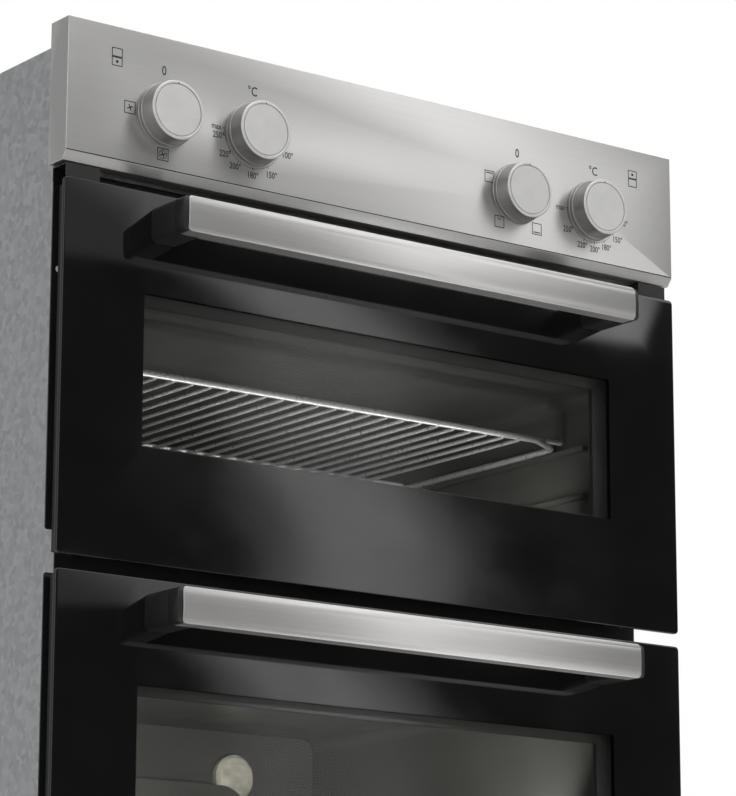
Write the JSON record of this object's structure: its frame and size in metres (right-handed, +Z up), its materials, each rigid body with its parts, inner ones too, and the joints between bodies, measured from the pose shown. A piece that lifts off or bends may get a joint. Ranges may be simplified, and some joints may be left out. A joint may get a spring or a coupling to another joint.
{
  "type": "built-in double oven",
  "caption": "Built-in double oven with a brushed steel control panel, drop-down black glass doors with bar handles, enamelled cavities, wire shelves and a baking tray.",
  "frame": {"origin": "middle of the underside of the base, under the centre of the overall box", "axes": "+X to the right seen from the front, -Y towards the user, out of the doors, +Z up"},
  "size_m": [0.594, 0.613, 0.888],
  "materials": {
    "galvanised_sheet": "zinc coated sheet, satin",
    "zinc_plate": "bright zinc plate",
    "black_sheet": "black painted sheet, satin",
    "frame_enamel": "dark grey enamel",
    "cavity_enamel": "dark grey speckled enamel",
    "tray_enamel": "black glossy enamel",
    "fascia_steel": "brushed along its length, clear coated",
    "handle_steel": "brushed along its length",
    "knob_silver": "silver grey moulded plastic, satin",
    "bezel_silver": "silver moulded plastic",
    "switch_plastic": "natural moulded plastic",
    "door_glass": "clear glass with a black fired print round the window",
    "inner_glass": "clear heat resistant glass",
    "lamp_glass": "clear glass cover",
    "lamp_ceramic": "white ceramic",
    "seal_rubber": "black silicone rubber",
    "element_steel": "oxidised heater sheath",
    "shelf_chrome": "chrome plated wire",
    "handle_black": "dark grey moulded plastic",
    "wool": "mineral wool blanket",
    "motor_metal": "grey painted steel",
    "rotor_aluminium": "bare aluminium sheet"
  },
  "bodies": {
    "casing": {"base_tray": "galvanised_sheet", "left_side_panel": "galvanised_sheet", "right_side_panel": "galvanised_sheet", "top_cover": "galvanised_sheet", "rear_panel": "galvanised_sheet", "switch_bracket": "galvanised_sheet", "cooling_duct": "galvanised_sheet", "cooling_fan_housing": "galvanised_sheet", "hinge_arms": "zinc_plate", "hinge_pins": "zinc_plate", "casing_screws": "zinc_plate", "divider_channel": "black_sheet", "bottom_trim": "black_sheet", "upper_front_frame": "frame_enamel", "lower_front_frame": "frame_enamel", "fascia_brackets": "frame_enamel", "upper_cavity": "cavity_enamel", "lower_cavity": "cavity_enamel", "fan_baffle": "cavity_enamel", "control_panel": "fascia_steel", "knob_bezels": "bezel_silver", "selector_switches": "switch_plastic", "thermostats": "switch_plastic", "terminal_block": "switch_plastic", "lamp_lenses": "lamp_glass", "lamp_holders": "lamp_ceramic", "upper_door_seal": "seal_rubber", "lower_door_seal": "seal_rubber", "roof_element": "element_steel", "floor_element": "element_steel", "ring_element": "element_steel", "upper_insulation": "wool", "lower_insulation": "wool", "fan_motor": "motor_metal", "cooling_fan_motor": "motor_metal"},
    "upper_door": {"upper_door_glass": "door_glass", "upper_door_inner_glass": "inner_glass", "upper_door_columns": "black_sheet", "upper_door_top_rail": "black_sheet", "upper_door_bottom_rail": "black_sheet", "upper_handle_bar": "handle_steel", "upper_handle_posts": "handle_black", "upper_hinge_leaves": "zinc_plate"},
    "lower_door": {"lower_door_glass": "door_glass", "lower_door_inner_glass": "inner_glass", "lower_door_columns": "black_sheet", "lower_door_top_rail": "black_sheet", "lower_door_bottom_rail": "black_sheet", "lower_handle_bar": "handle_steel", "lower_handle_posts": "handle_black", "lower_hinge_leaves": "zinc_plate"},
    "convection_fan": {"convection_fan": "rotor_aluminium"},
    "cooling_fan": {"cooling_fan_rotor": "rotor_aluminium"},
    "lower_selector": {"lower_selector_knob": "knob_silver"},
    "lower_thermostat": {"lower_thermostat_knob": "knob_silver"},
    "upper_selector": {"upper_selector_knob": "knob_silver"},
    "upper_thermostat": {"upper_thermostat_knob": "knob_silver"},
    "upper_shelf": {"upper_shelf": "shelf_chrome"},
    "lower_shelf": {"lower_shelf": "shelf_chrome"},
    "baking_tray": {"baking_tray": "tray_enamel"}
  },
  "joints": [
    {"name": "upper_door_hinge", "type": "hinge", "parent": "casing", "child": "upper_door", "pos_m": [0, -0.2435, 0.497], "axis": [1, 0, 0], "range_deg": [0, 90], "stiffness_Nm_per_rad": 2.2, "springref_deg": -28.65},
    {"name": "lower_door_hinge", "type": "hinge", "parent": "casing", "child": "lower_door", "pos_m": [0, -0.2435, 0.041], "axis": [1, 0, 0], "range_deg": [0, 90], "stiffness_Nm_per_rad": 5, "springref_deg": -20.05},
    {"name": "lower_selector_turn", "type": "hinge", "parent": "casing", "child": "lower_selector", "pos_m": [-0.21, -0.2695, 0.827], "axis": [0, 1, 0], "range_deg": [0, 270]},
    {"name": "lower_thermostat_turn", "type": "hinge", "parent": "casing", "child": "lower_thermostat", "pos_m": [-0.13, -0.2695, 0.827], "axis": [0, 1, 0], "range_deg": [0, 280]},
    {"name": "upper_selector_turn", "type": "hinge", "parent": "casing", "child": "upper_selector", "pos_m": [0.13, -0.2695, 0.827], "axis": [0, 1, 0], "range_deg": [0, 300]},
    {"name": "upper_thermostat_turn", "type": "hinge", "parent": "casing", "child": "upper_thermostat", "pos_m": [0.21, -0.2695, 0.827], "axis": [0, 1, 0], "range_deg": [0, 280]},
    {"name": "upper_shelf_slide", "type": "slide", "parent": "casing", "child": "upper_shelf", "axis": [0, -1, 0], "range_m": [0, 0.03]},
    {"name": "lower_shelf_slide", "type": "slide", "parent": "casing", "child": "lower_shelf", "axis": [0, -1, 0], "range_m": [0, 0.03]},
    {"name": "baking_tray_slide", "type": "slide", "parent": "casing", "child": "baking_tray", "axis": [0, -1, 0], "range_m": [0, 0.03]},
    {"name": "convection_fan_spin", "type": "hinge", "parent": "casing", "child": "convection_fan", "pos_m": [0, 0.1535, 0.26], "axis": [0, 1, 0], "continuous": true},
    {"name": "cooling_fan_spin", "type": "hinge", "parent": "casing", "child": "cooling_fan", "pos_m": [0, 0.0385, 0.77375], "axis": [1, 0, 0], "continuous": true}
  ]
}
